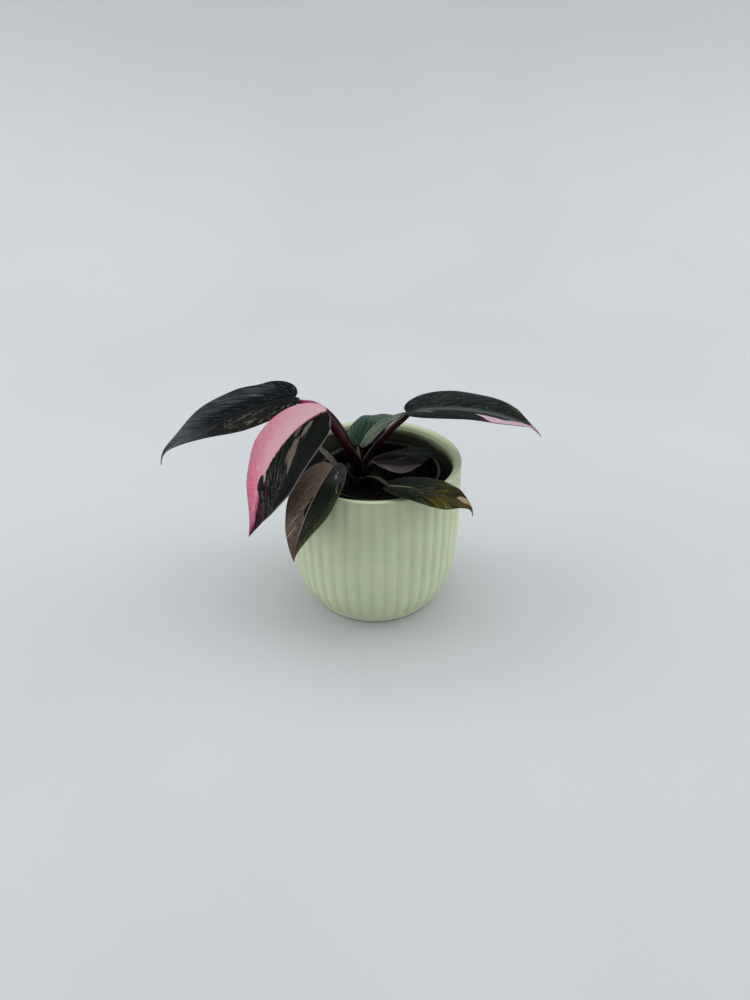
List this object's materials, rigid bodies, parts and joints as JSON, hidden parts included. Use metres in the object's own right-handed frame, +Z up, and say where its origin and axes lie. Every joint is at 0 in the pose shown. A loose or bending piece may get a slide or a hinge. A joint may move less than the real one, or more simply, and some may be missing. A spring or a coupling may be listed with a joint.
{
  "type": "potted pink princess philodendron",
  "caption": "Young variegated philodendron with dark and pink heart-shaped leaves on burgundy stalks, in a nursery pot inside a ribbed, pale green ceramic planter.",
  "frame": {"origin": "centre of the planter's flat foot, on the surface it stands on", "axes": "+Z up along the planter's axis; -Y is the front, the side towards which the small front leaves lean; +X is to the right seen from the front"},
  "size_m": [0.2972, 0.1514, 0.1734],
  "materials": {
    "planter": "satin glaze, pale pistachio green",
    "nursery_pot": "matte black moulded",
    "soil": "dark, moist, fibrous potting mix",
    "stem": "dull, ringed with leaf scars",
    "leaf_upper_left": "waxy, semi-gloss, variegated",
    "leaf_pink_half": "waxy, semi-gloss, variegated",
    "leaf_front_left": "waxy, semi-gloss, variegated",
    "leaf_upper_right": "waxy, semi-gloss, variegated",
    "leaf_newest": "waxy, semi-gloss, variegated",
    "leaf_inner_front": "waxy, semi-gloss, variegated",
    "leaf_inner_back": "waxy, semi-gloss, variegated",
    "leaf_front_right": "waxy, semi-gloss, variegated",
    "petiole": "smooth, semi-gloss, burgundy",
    "dried_sheath": "dry, striped, fibrous",
    "growth_sheath": "soft, beige pink"
  },
  "bodies": {
    "root": {"planter": "planter", "nursery_pot": "nursery_pot", "soil": "soil", "stem": "stem", "leaf_upper_left": "leaf_upper_left", "leaf_pink_half": "leaf_pink_half", "leaf_front_left": "leaf_front_left", "leaf_upper_right": "leaf_upper_right", "leaf_newest": "leaf_newest", "leaf_inner_front": "leaf_inner_front", "leaf_inner_back": "leaf_inner_back", "leaf_front_right": "leaf_front_right", "petiole_upper_left": "petiole", "petiole_pink_half": "petiole", "petiole_front_left": "petiole", "petiole_upper_right": "petiole", "petiole_newest": "petiole", "petiole_inner_front": "petiole", "petiole_inner_back": "petiole", "petiole_front_right": "petiole", "dried_sheath_long": "dried_sheath", "dried_sheath_short": "dried_sheath", "growth_sheath": "growth_sheath"}
  },
  "joints": []
}
